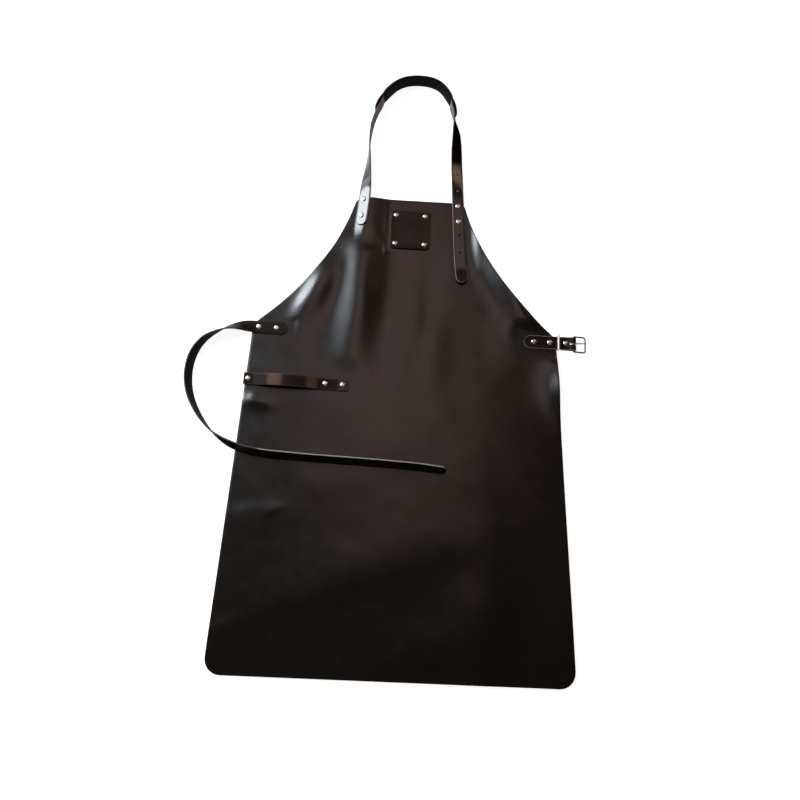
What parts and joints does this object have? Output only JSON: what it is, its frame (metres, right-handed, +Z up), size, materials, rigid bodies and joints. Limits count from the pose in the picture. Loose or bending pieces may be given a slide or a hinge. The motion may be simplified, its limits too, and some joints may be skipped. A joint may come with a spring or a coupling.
{
  "type": "leather work apron",
  "caption": "Leather work apron lying flat: bib with a patch, neck strap with a pad, towel loop, long waist strap and a short strap with a prong buckle.",
  "frame": {"origin": "on the floor, under the middle of the whole object's box", "axes": "+X to the right of the apron as it lies front side up, +Y from the hem towards the neck, +Z up from the floor"},
  "size_m": [0.7002, 1.1028, 0.0291],
  "materials": {
    "body_leather": "satin, smooth grain",
    "strap_leather": "satin grain side, pale cut edges",
    "pad_leather": "semi-gloss",
    "patch_leather": "glossy",
    "metal": "polished nickel"
  },
  "bodies": {
    "apron": {"apron_body": "body_leather", "neck_strap": "strap_leather", "neck_pad": "pad_leather", "patch": "patch_leather", "waist_strap": "strap_leather", "towel_loop": "strap_leather", "buckle_strap": "strap_leather", "keeper": "metal", "neck_rivet_1": "metal", "neck_rivet_2": "metal", "neck_screw_1": "metal", "neck_screw_2": "metal", "patch_rivet_1": "metal", "patch_rivet_2": "metal", "patch_rivet_3": "metal", "patch_rivet_4": "metal", "waist_rivet_1": "metal", "waist_rivet_2": "metal", "towel_rivet_1": "metal", "towel_rivet_2": "metal", "towel_rivet_3": "metal", "buckle_rivet_1": "metal", "buckle_rivet_2": "metal", "buckle_rivet_3": "metal"},
    "buckle_frame": {"buckle_frame": "metal"},
    "buckle_prong": {"buckle_prong": "metal"}
  },
  "joints": [
    {"name": "frame_hinge", "type": "hinge", "parent": "apron", "child": "buckle_frame", "pos_m": [0.32779, 0.03461, 0.00455], "axis": [0, -1, 0], "range_deg": [0, 75]},
    {"name": "prong_hinge", "type": "hinge", "parent": "buckle_frame", "child": "buckle_prong", "pos_m": [0.32779, 0.03461, 0.00455], "axis": [0, -1, 0], "range_deg": [-17, 50]}
  ]
}
